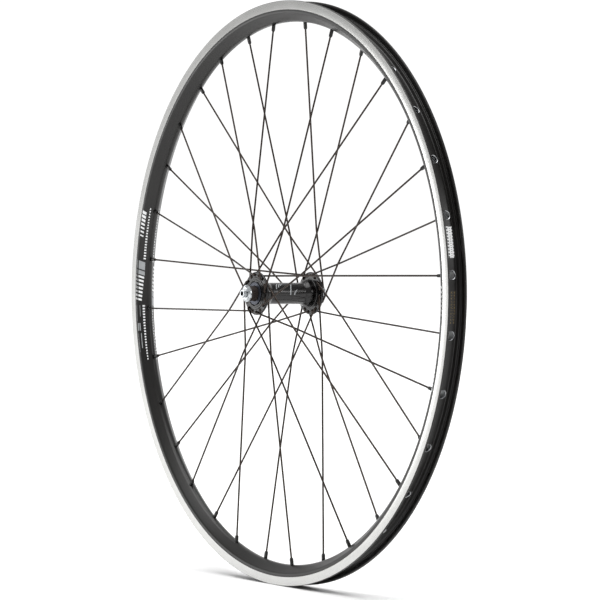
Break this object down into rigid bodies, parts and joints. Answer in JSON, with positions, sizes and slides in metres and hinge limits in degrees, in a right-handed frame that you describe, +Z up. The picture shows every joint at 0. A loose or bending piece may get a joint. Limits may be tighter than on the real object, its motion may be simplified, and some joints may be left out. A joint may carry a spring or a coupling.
{
  "type": "bicycle front wheel",
  "caption": "Spoked front wheel of a road bicycle with machined brake tracks and a hollow quick-release axle, without tyre or skewer.",
  "frame": {"origin": "centre of the wheel, on the axle midway between the locknut faces", "axes": "+Y along the axle towards the bicycle's left side, +Z up through the rim next to the valve hole, +X forward"},
  "size_m": [0.6344, 0.108, 0.6344],
  "materials": {
    "black_steel": "blackened stainless steel spoke wire",
    "anodised_rim": "black anodised aluminium with machined silver brake tracks",
    "raw_aluminium": "raw extruded aluminium",
    "light_label": "satin film label",
    "dark_label": "satin film label",
    "black_brass": "blackened brass",
    "anodised_hub": "black anodised aluminium",
    "plated_steel": "zinc plated steel",
    "bearing_steel": "ground bearing steel",
    "dust_cap_grey": "dark grey anodised aluminium",
    "black_rubber": "moulded black rubber",
    "bright_plated_steel": "bright nickel plated steel"
  },
  "bodies": {
    "axle_assembly": {"axle": "plated_steel", "cone_right": "bearing_steel", "cone_left": "bearing_steel", "cone_cover_right": "black_rubber", "cone_cover_left": "black_rubber", "spacing_washer_right": "plated_steel", "spacing_washer_left": "plated_steel", "locknut_right": "bright_plated_steel", "locknut_left": "bright_plated_steel"},
    "wheel": {"rim": "anodised_rim", "rim_joint_plug": "raw_aluminium", "rim_label_light": "light_label", "rim_label_dark": "dark_label", "nipples_right": "black_brass", "nipples_left": "black_brass", "hub_shell": "anodised_hub", "bearing_cup_right": "bearing_steel", "bearing_cup_left": "bearing_steel", "dust_cap_right": "dust_cap_grey", "dust_cap_left": "dust_cap_grey", "spoke_01": "black_steel", "spoke_02": "black_steel", "spoke_03": "black_steel", "spoke_04": "black_steel", "spoke_05": "black_steel", "spoke_06": "black_steel", "spoke_07": "black_steel", "spoke_08": "black_steel", "spoke_09": "black_steel", "spoke_10": "black_steel", "spoke_11": "black_steel", "spoke_12": "black_steel", "spoke_13": "black_steel", "spoke_14": "black_steel", "spoke_15": "black_steel", "spoke_16": "black_steel", "spoke_17": "black_steel", "spoke_18": "black_steel", "spoke_19": "black_steel", "spoke_20": "black_steel", "spoke_21": "black_steel", "spoke_22": "black_steel", "spoke_23": "black_steel", "spoke_24": "black_steel", "spoke_25": "black_steel", "spoke_26": "black_steel", "spoke_27": "black_steel", "spoke_28": "black_steel", "spoke_29": "black_steel", "spoke_30": "black_steel", "spoke_31": "black_steel", "spoke_32": "black_steel"},
    "balls_right": {"ball_set_right": "bearing_steel"},
    "balls_left": {"ball_set_left": "bearing_steel"}
  },
  "joints": [
    {"name": "wheel_spin", "type": "hinge", "parent": "axle_assembly", "child": "wheel", "pos_m": [0, 0, 0], "axis": [0, 1, 0], "continuous": true},
    {"name": "balls_right_roll", "type": "hinge", "parent": "axle_assembly", "child": "balls_right", "pos_m": [0, -0.0312, 0], "axis": [0, 1, 0], "continuous": true},
    {"name": "balls_left_roll", "type": "hinge", "parent": "axle_assembly", "child": "balls_left", "pos_m": [0, 0.0312, 0], "axis": [0, 1, 0], "continuous": true}
  ],
  "couplings": [
    {"joint": "balls_right_roll", "follows": "wheel_spin", "ratio": 0.5956},
    {"joint": "balls_left_roll", "follows": "wheel_spin", "ratio": 0.5956}
  ]
}
